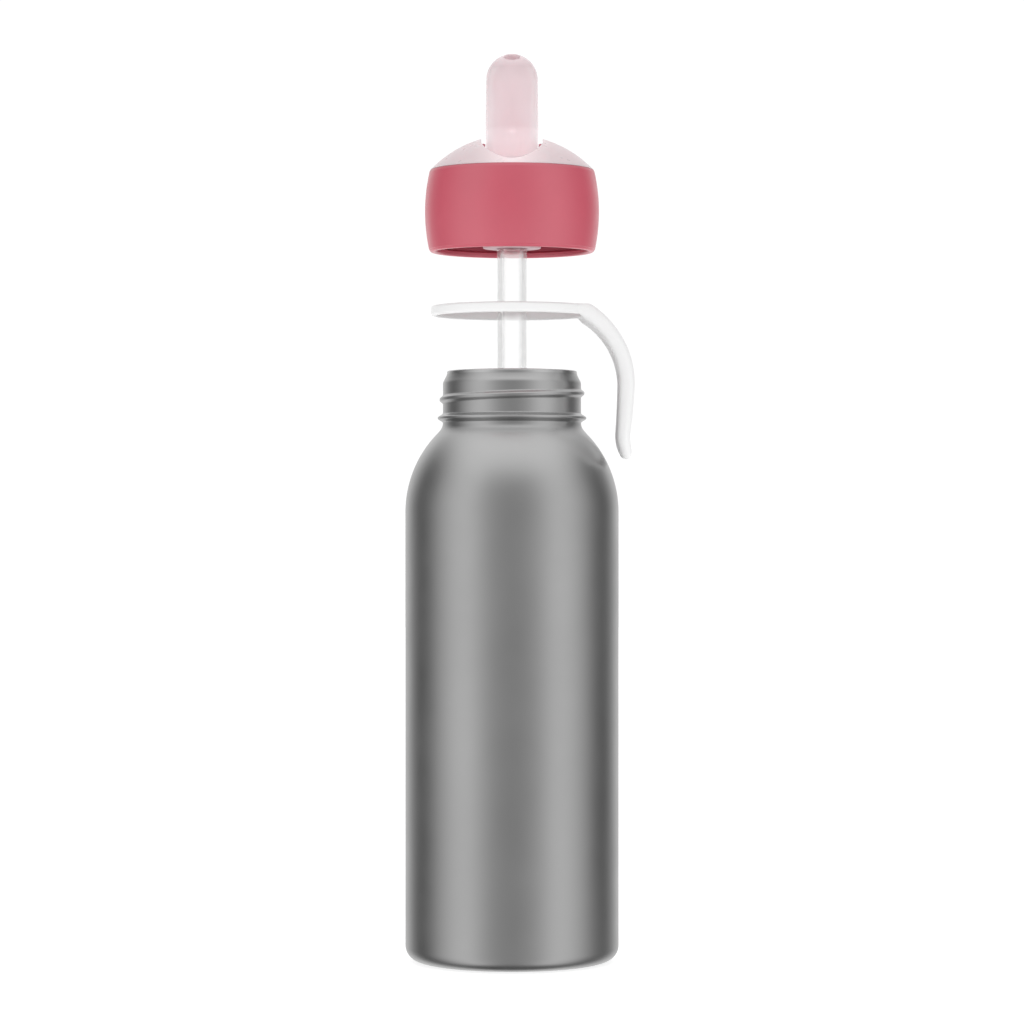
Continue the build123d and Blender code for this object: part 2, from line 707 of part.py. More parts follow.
# ---- straw adapter, its ring seal and the straw ------------------------------------------
with BuildPart() as straw_adapter:
    with BuildSketch(Plane.XY.offset(adapter_bottom_z)) as adapter_flange:
        Circle(adapter_flange_r)
    extrude(amount=adapter_flange_height)
    fillet(straw_adapter.edges().group_by(Axis.Z)[0], 0.4)
    with BuildSketch(Plane.XY.offset(adapter_bottom_z + adapter_flange_height)) as adapter_tube:
        Circle(adapter_tube_r)
    extrude(amount=adapter_top_z - adapter_bottom_z - adapter_flange_height)
    with BuildSketch(Plane.XY.offset(adapter_bottom_z)) as adapter_bore:
        Circle(adapter_bore_r)
    extrude(amount=straw_top_z + 0.1 - adapter_bottom_z, mode=Mode.SUBTRACT)
    with BuildSketch(Plane.XY.offset(adapter_bottom_z)) as adapter_outlet:
        Circle(straw_bore_r)
    extrude(amount=adapter_top_z - adapter_bottom_z, mode=Mode.SUBTRACT)
    with Locations((0, 0, o_ring_z)):
        Torus(o_ring_r, o_ring_wire_r, mode=Mode.SUBTRACT)
straw_adapter.part.label = "straw_adapter"

with BuildPart() as adapter_o_ring:
    with Locations((0, 0, o_ring_z)):
        Torus(o_ring_r, o_ring_wire_r - 0.02)
adapter_o_ring.part.label = "adapter_o_ring"

with BuildPart() as straw:
    with BuildSketch(Plane.XY.offset(straw_foot_z)) as straw_wall:
        Circle(straw_r)
        Circle(straw_bore_r, mode=Mode.SUBTRACT)
    extrude(amount=straw_top_z - straw_foot_z)
straw.part.label = "straw"

export_step(outer_shell.part, "parts/outer_shell.step")
export_step(inner_liner.part, "parts/inner_liner.step")
export_step(base_cup.part, "parts/base_cup.step")
export_step(getter.part, "parts/getter.step")
export_step(vacuum_seal.part, "parts/vacuum_seal.step")
export_step(base_disc.part, "parts/base_disc.step")
export_step(carry_ring.part, "parts/carry_ring.step")
export_step(cap_collar.part, "parts/cap_collar.step")
export_step(cap_core.part, "parts/cap_core.step")
export_step(dome_cover.part, "parts/dome_cover.step")
export_step(spout.part, "parts/spout.step")
export_step(spout_insert.part, "parts/spout_insert.step")
export_step(hinge_pins.part, "parts/hinge_pins.step")
export_step(spout_seal.part, "parts/spout_seal.step")
export_step(vent_valve.part, "parts/vent_valve.step")
export_step(neck_gasket.part, "parts/neck_gasket.step")
export_step(straw_adapter.part, "parts/straw_adapter.step")
export_step(adapter_o_ring.part, "parts/adapter_o_ring.step")
export_step(straw.part, "parts/straw.step")
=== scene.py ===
import math

import bmesh
import bpy
from mathutils import Matrix, Vector


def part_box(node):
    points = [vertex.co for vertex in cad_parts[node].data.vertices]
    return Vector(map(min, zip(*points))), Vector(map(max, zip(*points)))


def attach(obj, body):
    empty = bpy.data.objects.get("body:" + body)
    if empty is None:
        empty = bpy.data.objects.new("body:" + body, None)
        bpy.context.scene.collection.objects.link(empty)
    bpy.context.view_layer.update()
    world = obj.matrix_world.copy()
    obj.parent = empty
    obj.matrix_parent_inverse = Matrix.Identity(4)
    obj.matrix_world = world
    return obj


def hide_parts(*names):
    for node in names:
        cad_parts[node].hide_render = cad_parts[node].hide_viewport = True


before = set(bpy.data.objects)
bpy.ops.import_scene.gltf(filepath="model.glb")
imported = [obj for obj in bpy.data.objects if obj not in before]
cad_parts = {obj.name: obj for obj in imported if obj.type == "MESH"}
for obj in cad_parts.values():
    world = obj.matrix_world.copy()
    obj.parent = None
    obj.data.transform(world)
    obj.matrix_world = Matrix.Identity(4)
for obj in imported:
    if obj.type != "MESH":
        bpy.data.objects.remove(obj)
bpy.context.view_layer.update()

MM = 0.001

# ---- sizes, in millimetres, in the frame of the CAD model ----------------------------------------
BODY_R = 32.6
SHELL_WALL = 0.7
CORNER_R = 4.6
SHOULDER_Z = 136.9
SHOULDER_ARC = 34.3
NECK_R = 21.13
BEAD_R = 22.7
BEAD_Z = 165.6
LIP_LOW_Z = 176.5
LIP_HIGH_R = 19.95
LIP_HIGH_Z = 179.0
LIP_TOP_Z = 180.04
MOUTH_R = 18.4
LIP_BORE_R = 19.0
FOOT_R = 25.5
FOOT_HEIGHT = 3.2  # of the flange inside the base
NECK_FOOT_Z = 164.0  # where the fillet from the shoulder ends and the bead begins
BEAD_TOP_Z = 167.2
THREAD_LEAD = 4.0
THREAD_CREST_R = 22.15
THREAD_START_Z = 169.7
THREAD_START_DEG = 45.0
THREAD_END_DEG = 495.0
THREAD_FADE_DEG = 55

CIRCLE_STEPS = 192


# ---- small geometry helpers ----------------------------------------------------------------------
def arc(centre_r, centre_z, radius, start, end, steps=10):
    """Points on an arc in the (r, z) half plane, angles in degrees from +r towards +z."""
    points = []
    for i in range(steps + 1):
        angle = math.radians(start + (end - start) * i / steps)
        points.append((centre_r + radius * math.cos(angle), centre_z + radius * math.sin(angle)))
    return points


def smoothstep(low, high, value):
    t = min(1.0, max(0.0, (value - low) / (high - low)))
    return t * t * (3 - 2 * t)


def new_piece(name, verts, faces, body, replaced):
    """A mesh object in millimetres that rides on a CAD body and stands for its nodes."""
    mesh = bpy.data.meshes.new(name)
    mesh.from_pydata([(x * MM, y * MM, z * MM) for x, y, z in verts], [], faces)
    piece = bpy.data.objects.new(name, mesh)
    bpy.context.scene.collection.objects.link(piece)
    clean(piece)
    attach(piece, body)
    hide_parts(*replaced)
    return piece


def shade(bm, sharp_angle):
    """Smooth faces with sharp edges where they meet at more than an angle in degrees."""
    limit = math.radians(sharp_angle)
    for face in bm.faces:
        face.smooth = True
    for edge in bm.edges:
        if len(edge.link_faces) == 2:
            edge.smooth = edge.calc_face_angle(0) < limit


def clean(piece, sharp_angle=40):
    """A closed mesh without slivers, with consistent normals and smooth shading."""
    bm = bmesh.new()
    bm.from_mesh(piece.data)
    bmesh.ops.remove_doubles(bm, verts=bm.verts, dist=1e-7)
    bmesh.ops.dissolve_degenerate(bm, dist=2e-6, edges=bm.edges)
    bmesh.ops.recalc_face_normals(bm, faces=bm.faces)
    shade(bm, sharp_angle)
    bm.to_mesh(piece.data)
    bm.free()


def lathe_mesh(profile, closed, steps=CIRCLE_STEPS, bulge=None):
    """Vertices and faces of a profile of (r, z) points turned about Z.
    bulge(degrees, r, z) may add to the radius."""
    verts = []
    rings = []
    for r, z in profile:
        if r < 1e-6:
            rings.append([len(verts)])
            verts.append((0.0, 0.0, z))
            continue
        ring = []
        for i in range(steps):
            degrees = 360.0 * i / steps
            radius = r + (bulge(degrees, r, z) if bulge else 0.0)
            angle = math.radians(degrees)
            ring.append(len(verts))
            verts.append((radius * math.cos(angle), radius * math.sin(angle), z))
        rings.append(ring)
    faces = []
    pairs = list(zip(rings, rings[1:]))
    if closed:
        pairs.append((rings[-1], rings[0]))
    for low, high in pairs:
        if len(low) == 1 and len(high) == 1:
            continue
        for i in range(steps):
            j = (i + 1) % steps
            if len(low) == 1:
                faces.append((low[0], high[j], high[i]))
            elif len(high) == 1:
                faces.append((low[i], low[j], high[0]))
            else:
                faces.append((low[i], low[j], high[j], high[i]))
    return verts, faces


def lathe(name, profile, body, replaced, closed=True, steps=CIRCLE_STEPS, bulge=None):
    """A piece turned about Z from a profile."""
    verts, faces = lathe_mesh(profile, closed, steps, bulge)
    return new_piece(name, verts, faces, body, replaced)


def apply_modifiers(piece, sharp_angle=40):
    depsgraph = bpy.context.evaluated_depsgraph_get()
    result = bpy.data.meshes.new_from_object(piece.evaluated_get(depsgraph))
    piece.modifiers.clear()
    piece.data = result
    clean(piece, sharp_angle)


def paint(piece, material):
    piece.data.materials.clear()
    piece.data.materials.append(material)


# ---- materials -----------------------------------------------------------------------------------
UP = (0, 0, 1)
SIDEWAYS = (1, 0, 0)


class Look:
    """A new material with its principled shader and helpers for the nodes before it."""

    def __init__(self, name, color, roughness, metallic=0.0):
        self.material = bpy.data.materials.new(name)
        self.material.use_nodes = True
        self.tree = self.material.node_tree
        self.shader = self.tree.nodes["Principled BSDF"]
        self.set("Base Color", (*color, 1.0))
        self.set("Roughness", roughness)
        self.set("Metallic", metallic)
        self.place = self.tree.nodes.new("ShaderNodeTexCoord").outputs["Object"]

    def set(self, socket, value):
        self.shader.inputs[socket].default_value = value

    def link(self, output, node_input):
        self.tree.links.new(output, node_input)

    def noise(self, scale, detail, stretch=(1, 1, 1)):
        mapping = self.tree.nodes.new("ShaderNodeMapping")
        mapping.inputs["Scale"].default_value = stretch
        self.link(self.place, mapping.inputs["Vector"])
        noise = self.tree.nodes.new("ShaderNodeTexNoise")
        noise.inputs["Scale"].default_value = scale
        noise.inputs["Detail"].default_value = detail
        noise.inputs["Roughness"].default_value = 0.55
        self.link(mapping.outputs["Vector"], noise.inputs["Vector"])
        return noise.outputs["Fac"]

    def along(self, axis, both_sides=False):
        """Distance in millimetres of a point along an axis of the object."""
        node = self.tree.nodes.new("ShaderNodeVectorMath")
        node.operation = "DOT_PRODUCT"
        node.inputs[1].default_value = tuple(part / MM for part in axis)
        self.link(self.place, node.inputs[0])
        if not both_sides:
            return node.outputs["Value"]
        size = self.tree.nodes.new("ShaderNodeMath")
        size.operation = "ABSOLUTE"
        self.link(node.outputs["Value"], size.inputs[0])
        return size.outputs["Value"]

    def levels(self, distance, stops, color=(1.0, 1.0, 1.0)):
        """A colour whose strength follows (distance, strength) stops."""
        low, high = stops[0][0], stops[-1][0]
        scaled = self.tree.nodes.new("ShaderNodeMapRange")
        scaled.inputs["From Min"].default_value = low
        scaled.inputs["From Max"].default_value = high
        self.link(distance, scaled.inputs["Value"])
        ramp = self.tree.nodes.new("ShaderNodeValToRGB")
        elements = ramp.color_ramp.elements
        elements.remove(elements[-1])
        for index, (place, strength) in enumerate(stops):
            position = (place - low) / (high - low)
            element = elements[0] if index == 0 else elements.new(position)
            element.position = position
            element.color = (*(part * strength for part in color), 1.0)
        self.link(scaled.outputs["Result"], ramp.inputs["Fac"])
        return ramp.outputs["Color"]

    def painted_glow(self, distance, stops, color):
        """Painted light: emission that stands in for light coming through a translucent piece from
        inside it.
        """
        self.link(self.levels(distance, stops, color), self.shader.inputs["Emission Color"])
        self.set("Emission Strength", 1.0)

    def between(self, fac, low, high):
        """The factor mapped from 0..1 to low..high."""
        node = self.tree.nodes.new("ShaderNodeMapRange")
        node.inputs["From Min"].default_value = 0.3
        node.inputs["From Max"].default_value = 0.7
        node.inputs["To Min"].default_value = low
        node.inputs["To Max"].default_value = high
        self.link(fac, node.inputs["Value"])
        return node.outputs["Result"]

    def tint(self, fac, dark, light):
        """Base colour varied between two colours."""
        ramp = self.tree.nodes.new("ShaderNodeValToRGB")
        ramp.color_ramp.elements[0].position = 0.3
        ramp.color_ramp.elements[1].position = 0.7
        ramp.color_ramp.elements[0].color = (*dark, 1.0)
        ramp.color_ramp.elements[1].color = (*light, 1.0)
        self.link(fac, ramp.inputs["Fac"])
        self.link(ramp.outputs["Color"], self.shader.inputs["Base Color"])

    def vary_roughness(self, fac, roughness, spread):
        varied = self.between(fac, roughness - spread, roughness + spread)
        self.link(varied, self.shader.inputs["Roughness"])

    def bump(self, fac, strength, distance):
        node = self.tree.nodes.new("ShaderNodeBump")
        node.inputs["Strength"].default_value = strength
        node.inputs["Distance"].default_value = distance
        self.link(fac, node.inputs["Height"])
        self.link(node.outputs["Normal"], self.shader.inputs["Normal"])


def shades(color, spread):
    """A darker and a lighter shade of a colour."""
    dark = tuple(c * (1 - spread) for c in color)
    light = tuple(min(1.0, c * (1 + spread)) for c in color)
    return dark, light


def steel_look(name, color, roughness, brush, grain):
    """Satin steel: fine brushing round the bottle, blasted grain and a cloudy roughness."""
    look = Look(name, color, roughness, metallic=1.0)
    dark, light = shades(color, 0.03)
    look.tint(look.noise(28, 3), dark, light)
    look.vary_roughness(look.noise(55, 5), roughness, 0.03)
    brushed = look.noise(900, 2, stretch=(0.06, 0.06, 1.0))
    blasted = look.noise(grain, 2)
    mix = look.tree.nodes.new("ShaderNodeMix")
    mix.inputs["Factor"].default_value = brush
    look.link(blasted, mix.inputs["A"])
    look.link(brushed, mix.inputs["B"])
    look.bump(mix.outputs["Result"], 0.12, 0.00004)
    return look.material


def plastic_look(name, color, roughness, grain, spread=0.025, bump=0.12, coat=0.0, specular=0.5):
    """Moulded plastic with a fine eroded texture and slight flow marks."""
    look = Look(name, color, roughness)
    dark, light = shades(color, spread)
    look.tint(look.noise(70, 4), dark, light)
    look.vary_roughness(look.noise(160, 3), roughness, 0.04)
    look.bump(look.noise(grain, 3), bump, 0.00005)
    look.set("Specular IOR Level", specular)
    look.set("Coat Weight", coat)
    look.set("Coat Roughness", 0.25)
    return look


def core_look():
    """The cap's body: deep rose, with a paler trough above its ceiling."""
    deep = (0.40, 0.055, 0.085)
    look = plastic_look("deep_rose_plastic", deep, 0.45, 1300)
    height = look.levels(look.along(UP), [(235.5, 0.0), (236.5, 1.0)])
    look.tint(height, deep, (0.86, 0.47, 0.53))
    return look.material


def translucent_look(name, color, roughness, transmission, scatter, alpha=1.0):
    """Frosted translucent plastic or silicone."""
    look = plastic_look(name, color, roughness, 1400, 0.012, 0.08)
    look.set("Alpha", alpha)
    look.set("Transmission Weight", transmission)
    look.set("IOR", 1.46)
    look.set("Subsurface Weight", scatter)
    look.set("Subsurface Radius", (1.0, 0.6, 0.6))
    look.set("Subsurface Scale", 0.003)
    return look


def shell_look():
    """The dome: translucent, with painted light, an emission strongest along the middle, that
    stands in for the bright slot shining through.
    """
    look = translucent_look("blush_shell", (0.76, 0.61, 0.635), 0.3, 0.0, 0.2)
    stops = [(0, 0.28), (4, 0.2), (8, 0.11), (12, 0.04), (18, 0.01)]
    look.painted_glow(look.along(SIDEWAYS, both_sides=True), stops, (1.0, 0.95, 0.95))
    return look.material


def spout_look():
    """The spout: translucent, with painted light, an emission that makes it lighter towards its
    foot, and denser at the thick tip.
    """
    look = translucent_look("blush_spout", (0.92, 0.76, 0.79), 0.22, 0.0, 0.1)
    height = look.along(UP)
    # the bell inside ends between the third stop and the fourth
    stops = [(246, 0.27), (251, 0.26), (254, 0.19), (255, 0.115), (263, 0.05), (271, 0.01)]
    look.painted_glow(height, stops, (0.8, 1.0, 0.99))
    look.link(look.levels(height, [(272.5, 0.6), (275.5, 1.0)]), look.shader.inputs["Alpha"])
    return look.material


def bell_look():
    """The bell inside the spout's foot, with painted light, an emission that stands in for the
    light it gathers.
    """
    look = translucent_look("bell_silicone", (0.97, 0.88, 0.89), 0.45, 0.0, 0.3)
    look.painted_glow(look.along(UP), [(246, 0.42), (256, 0.55)], (1.0, 0.93, 0.94))
    return look.material


SATIN_STEEL = steel_look("satin_steel", (0.47, 0.47, 0.47), 0.34, 0.35, 2600)
LINER_STEEL = steel_look("liner_steel", (0.55, 0.55, 0.55), 0.30, 0.6, 2600)
GETTER_METAL = steel_look("getter_metal", (0.33, 0.33, 0.35), 0.55, 0.1, 1500)
ROSE = plastic_look(
    "rose_plastic", (0.62, 0.094, 0.14), 0.36, 1500, coat=0.25, specular=0.9
).material
DEEP_ROSE = core_look()
BLUSH_PLASTIC = plastic_look("blush_plastic", (0.55, 0.32, 0.35), 0.4, 1300, 0.02).material
WHITE_SILICONE = plastic_look("white_silicone", (0.95, 0.95, 0.95), 0.46, 1200, 0.012).material
CLEAR_SILICONE = translucent_look("clear_silicone", (0.97, 0.88, 0.89), 0.45, 0.0, 0.3).material
BLUSH_SHELL = shell_look()
# painted shade: a darker rose for the shadowed upright walls of the slot
SHADED_SLOT_ROSE = plastic_look("shaded_slot_rose", (0.66, 0.27, 0.32), 0.4, 1300, 0.02).material
BLUSH_SPOUT = spout_look()
BELL_SILICONE = bell_look()
CLEAR_STRAW = translucent_look("clear_straw", (1.0, 1.0, 1.0), 0.05, 1.0, 0.0, alpha=0.3).material
GLASS_SOLDER = translucent_look("glass_solder", (0.35, 0.42, 0.36), 0.15, 0.3, 0.0).material


# ---- bottle --------------------------------------------------------------------------------------
def thread_bulge(degrees, r, z):
    """Height of the rolled thread at a point of the neck's outer wall."""
    if abs(r - NECK_R) > 0.01:
        return 0.0
    height = 0.0
    for turn in (0, 1):
        along = degrees + 360.0 * turn
        if not THREAD_START_DEG <= along <= THREAD_END_DEG:
            continue
        centre = THREAD_START_Z + THREAD_LEAD * (along - THREAD_START_DEG) / 360.0
        fade = smoothstep(0, THREAD_FADE_DEG, along - THREAD_START_DEG)
        fade *= smoothstep(0, THREAD_FADE_DEG, THREAD_END_DEG - along)
        ridge = 1.0 - smoothstep(0.2, 1.45, abs(z - centre))
        height = max(height, fade * ridge)
    return height * (THREAD_CREST_R - NECK_R)


def fine_line(r, low, high, step=0.2):
    """Closely spaced points up a straight wall."""
    count = max(1, round(abs(high - low) / step))
    return [(r, low + (high - low) * i / count) for i in range(count + 1)]


def make_shell():
    centre_r = BODY_R - SHOULDER_ARC
    outer = [(FOOT_R, 0.0)]
    outer += arc(BODY_R - CORNER_R, CORNER_R, CORNER_R, -90, 0, 14)
    outer += fine_line(BODY_R, CORNER_R + 4, SHOULDER_Z - 4, 8)
    outer += arc(centre_r, SHOULDER_Z, SHOULDER_ARC, 0, 44, 40)
    # concave fillet from the shoulder into the neck
    shoulder_end = outer[-1]
    foot = [
        Vector((shoulder_end[0], shoulder_end[1])),
        Vector((21.65, 162.15)),
        Vector((21.22, 162.75)),
        Vector((NECK_R + 0.02, NECK_FOOT_Z)),
    ]
    for i in range(1, 13):
        t = i / 12
        point = (
            foot[0] * (1 - t) ** 3
            + foot[1] * 3 * t * (1 - t) ** 2
            + foot[2] * 3 * t * t * (1 - t)
            + foot[3] * t**3
        )
        outer.append((point.x, point.y))
    # rolled bead: soft foot, tight crest
    for i in range(1, 24):
        z = NECK_FOOT_Z + (BEAD_TOP_Z - NECK_FOOT_Z) * i / 24
        lift = 1.0 - smoothstep(0.15, 1.5, abs(z - BEAD_Z))
        outer.append((NECK_R + 0.02 + (BEAD_R - NECK_R) * lift, z))
    outer += fine_line(NECK_R, BEAD_TOP_Z + 0.1, LIP_LOW_Z - 0.4)
    outer += [(NECK_R - 0.06, LIP_LOW_Z), (NECK_R - 0.3, LIP_LOW_Z + 0.5)]
    outer += [(LIP_HIGH_R + 0.06, LIP_HIGH_Z - 0.35), (LIP_HIGH_R, LIP_HIGH_Z)]
    inner = [(LIP_BORE_R, LIP_HIGH_Z), (LIP_BORE_R, LIP_HIGH_Z - 1), (NECK_R - SHELL_WALL, 175.9)]
    inner += [(NECK_R - SHELL_WALL, 163.0)]
    inner += arc(centre_r, SHOULDER_Z, SHOULDER_ARC - SHELL_WALL, 46, 0, 20)
    inner += arc(BODY_R - CORNER_R, CORNER_R, CORNER_R - SHELL_WALL, 0, -90, 8)
    flange_r = FOOT_R + SHELL_WALL
    inner += [(flange_r, SHELL_WALL), (flange_r, FOOT_HEIGHT), (FOOT_R, FOOT_HEIGHT)]
    profile = outer + inner
    shell = lathe(
        "bottle_shell", profile, "bottle", ["outer_shell"], steps=288, bulge=thread_bulge
    )
    paint(shell, SATIN_STEEL)


def make_liner():
    low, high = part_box("inner_liner")
    outer_r = high.x / MM
    floor_z = low.z / MM
    wall = 0.6
    base_corner_r = 8
    rim_r = 0.5
    centre_r = BODY_R - SHOULDER_ARC
    neck_r = MOUTH_R + wall
    lip_r = LIP_HIGH_R - 0.05
    corner = (outer_r - base_corner_r, floor_z + base_corner_r)
    outside = [(0, floor_z)] + arc(*corner, base_corner_r, -90, 0, 10)
    big = outer_r - centre_r
    top_angle = math.degrees(math.acos((neck_r - centre_r) / big))
    outside += arc(centre_r, SHOULDER_Z, big, 0, top_angle, 24)
    outside += [(neck_r, LIP_HIGH_Z), (lip_r, LIP_HIGH_Z)]
    outside += arc(lip_r - rim_r, LIP_TOP_Z - rim_r, rim_r, 0, 90, 5)
    outside += arc(MOUTH_R + rim_r, LIP_TOP_Z - rim_r, rim_r, 90, 180, 5)
    small = big - wall
    top_angle = math.degrees(math.acos((MOUTH_R - centre_r) / small))
    inside = arc(centre_r, SHOULDER_Z, small, top_angle, 0, 24)
    inside += arc(*corner, base_corner_r - wall, 0, -90, 10) + [(0, floor_z + wall)]
    profile = outside + inside
    liner = lathe("flask_liner", profile, "bottle", ["inner_liner"], closed=False)
    paint(liner, LINER_STEEL)


# ---- carry ring and its loop ---------------------------------------------------------------------
LOOP_MID_Z = 176.0
# centre's distance from the axis, radius, and degrees above level where it leaves the ring
OUTER_ARCH = (9.4, 29.5, 61.0)
INNER_ARCH = (10.3, 24.0, 56.6)
LOOP_TIP_Z = 153.0
LOOP_TIP_FACES = (36.3, 32.95)
LOOP_ARM_WIDTH = 4.5
LOOP_TOP_HALF = 12.35  # from the middle of the loop to the middle of an arm
LOOP_TIP_HALF = 10.35
LOOP_CORNER = 6.0
RING_R = 24.75
RING_BORE_R = 22.92
RING_HEIGHT = 3.2


def loop_faces(share):
    """Outer and inner face points (r, z) of the loop's band; share runs from 0 at the ring
    through 1 where the band hangs straight down to 2 at the tip."""
    faces = []
    for (centre, radius, start), tip_r in zip((OUTER_ARCH, INNER_ARCH), LOOP_TIP_FACES):
        if share <= 1:
            angle = math.radians(start * (1 - share))
            rise = radius * math.sin(angle)
            faces.append(Vector((centre + radius * math.cos(angle), LOOP_MID_Z + rise)))
        else:
            t = share - 1
            eased = 0.5 * t * t + 0.5 * t if t < 0.5 else 1.25 * t - 0.25
            r = centre + radius + (tip_r - centre - radius) * eased
            faces.append(Vector((r, LOOP_MID_Z + (LOOP_TIP_Z - LOOP_MID_Z) * t)))
    return faces


def loop_table(steps=160):
    """Lengths down the middle of the band, with the share at each."""
    table = [(0.0, 0.0)]
    before = sum(loop_faces(0), Vector((0, 0))) / 2
    for i in range(1, steps + 1):
        share = 2 * i / steps
        middle = sum(loop_faces(share), Vector((0, 0))) / 2
        table.append((table[-1][0] + (middle - before).length, share))
        before = middle
    return table


def share_at(table, length):
    for (low, low_share), (high, high_share) in zip(table, table[1:]):
        if length <= high:
            return low_share + (high_share - low_share) * (length - low) / (high - low)
    return table[-1][1]


def loop_path(total):
    """The U of the loop's middle line, as (length down the band, sideways offset)."""
    middle_end = total - LOOP_ARM_WIDTH / 2
    steps = 60
    side = []
    for i in range(steps + 1):
        s = (middle_end - LOOP_CORNER) * i / steps
        side.append((s, LOOP_TOP_HALF + (LOOP_TIP_HALF - LOOP_TOP_HALF) * s / middle_end))
    end_y = side[-1][1]
    for i in range(1, 17):
        angle = math.radians(90 * i / 16)
        s = middle_end - LOOP_CORNER + LOOP_CORNER * math.sin(angle)
        side.append((s, end_y - end_y * (1 - math.cos(angle))))
    return [(s, -y) for s, y in side] + [(s, y) for s, y in reversed(side[:-1])]


def ring_section(bottom, top):
    """Outline (r, z) of the ring: square at the bore, round outside."""
    inner_round, outer_round = 0.5, 1.5
    outer_centre_r = RING_R - 1.1
    bore_centre_r = RING_BORE_R + inner_round
    section = arc(bore_centre_r, bottom + inner_round, inner_round, 180, 270, 5)
    section += arc(outer_centre_r, bottom + outer_round, outer_round, -75, 0, 8)
    section += arc(outer_centre_r, top - outer_round, outer_round, 0, 75, 8)
    section = [(min(r, RING_R), z) for r, z in section]
    return section + arc(bore_centre_r, top - inner_round, inner_round, 90, 180, 5)


def loop_places():
    """Middle point, outward direction and thickness of the band along the U of the loop."""
    table = loop_table()
    places = []
    for s, y in loop_path(table[-1][0]):
        outer, inner = loop_faces(share_at(table, s))
        middle = (outer + inner) / 2
        normal = (outer - inner).normalized()
        angle = y / middle.x
        out = Vector((normal.x * math.cos(angle), normal.x * math.sin(angle), normal.y))
        place = Vector((middle.x * math.cos(angle), middle.x * math.sin(angle), middle.y))
        places.append((place, out, (outer - inner).length))
    return places


def loop_mesh(bottom, top):
    """The loop as a rounded strap that starts inside the ring and ends in it again."""
    around = 28
    power = 2 / 2.4  # between round and square
    places = loop_places()
    verts, faces = [], []
    for i, (place, out, thickness) in enumerate(places):
        before = places[max(0, i - 1)][0]
        after = places[min(len(places) - 1, i + 1)][0]
        across = (after - before).normalized().cross(out).normalized()
        for k in range(around):
            angle = 2 * math.pi * k / around
            c, s = math.cos(angle), math.sin(angle)
            wide = LOOP_ARM_WIDTH / 2 * math.copysign(abs(c) ** power, c)
            deep = thickness / 2 * math.copysign(abs(s) ** power, s)
            point = place + across * wide + out * deep
            # the strap stays within the ring's height where they join
            lowest = bottom + 0.12 if point.xy.length < RING_R - 0.3 else 0.0
            verts.append((point.x, point.y, max(lowest, min(point.z, top - 0.03))))
    for i in range(len(places) - 1):
        a, b = i * around, (i + 1) * around
        for k in range(around):
            j = (k + 1) % around
            faces.append((a + k, a + j, b + j, b + k))
    faces.append(tuple(range(around)))
    faces.append(tuple(reversed(range((len(places) - 1) * around, len(places) * around))))
    return verts, faces


def make_carry_ring():
    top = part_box("carry_ring")[1].z / MM
    bottom = top - RING_HEIGHT
    ring_verts, ring_faces = lathe_mesh(ring_section(bottom, top), True, 256)
    loop_verts, loop_band = loop_mesh(bottom, top)
    offset = len(ring_verts)
    verts = ring_verts + loop_verts
    faces = ring_faces + [tuple(v + offset for v in face) for face in loop_band]
    ring = new_piece("carry_ring_soft", verts, faces, "carrier", ["carry_ring"])
    remesh = ring.modifiers.new("weld", "REMESH")
    remesh.mode = "VOXEL"
    remesh.voxel_size = 0.32 * MM
    smooth = ring.modifiers.new("soften", "SMOOTH")
    smooth.factor = 0.5
    smooth.iterations = 6
    apply_modifiers(ring, 60)
    paint(ring, WHITE_SILICONE)


# ---- cap -----------------------------------------------------------------------------------------
COLLAR_MID_Z = 228.7
COLLAR_MID_R = 26.62
COLLAR_ARC = 55.0
COLLAR_BORE_R = 24.0
COLLAR_MOUTH_R = 23.3


def collar_r(z):
    """Radius of the collar's barrel at a height."""
    return COLLAR_MID_R - COLLAR_ARC + math.sqrt(COLLAR_ARC**2 - (z - COLLAR_MID_Z) ** 2)


def make_collar():
    low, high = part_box("cap_collar")
    bottom, top = low.z / MM, high.z / MM
    lip = 0.85
    heights = [bottom + lip + (top - bottom - lip - 0.45) * i / 40 for i in range(41)]
    outside = [(collar_r(z), z) for z in heights]
    outside += arc(collar_r(top) - 0.4, top - 0.4, 0.4, 5, 90, 5)
    inside = [(COLLAR_BORE_R, top), (COLLAR_BORE_R, bottom + 2.1), (COLLAR_MOUTH_R, bottom + 1.5)]
    inside += arc(COLLAR_MOUTH_R + 0.75, bottom + 0.75, 0.75, 180, 270, 6)
    inside += arc(collar_r(bottom) - 0.85, bottom + lip, lip, -90, -8, 6)
    profile = outside + inside
    collar = lathe("cap_sleeve", profile, "cap", ["cap_collar"], steps=256)
    paint(collar, ROSE)


# ---- spout ---------------------------------------------------------------------------------------
PIVOT = Vector((0.0, 12.3, 244.6))
SPOUT_LEAN = 26.3  # degrees forward of upright
SPOUT_R = 7.9
SPOUT_FOOT = (8.2, 8.6)  # radius at the widest place, and its height above the hinge
SPOUT_BORE_R = 5.9
SPOUT_LENGTH = 27.3
TIP_HOLE_R = 2.45


def lean(points):
    """Moves points drawn along the spout's own axis to where the spout stands."""
    turn = Matrix.Rotation(math.radians(SPOUT_LEAN), 4, "X")
    return [tuple(PIVOT + turn @ Vector(point)) for point in points]


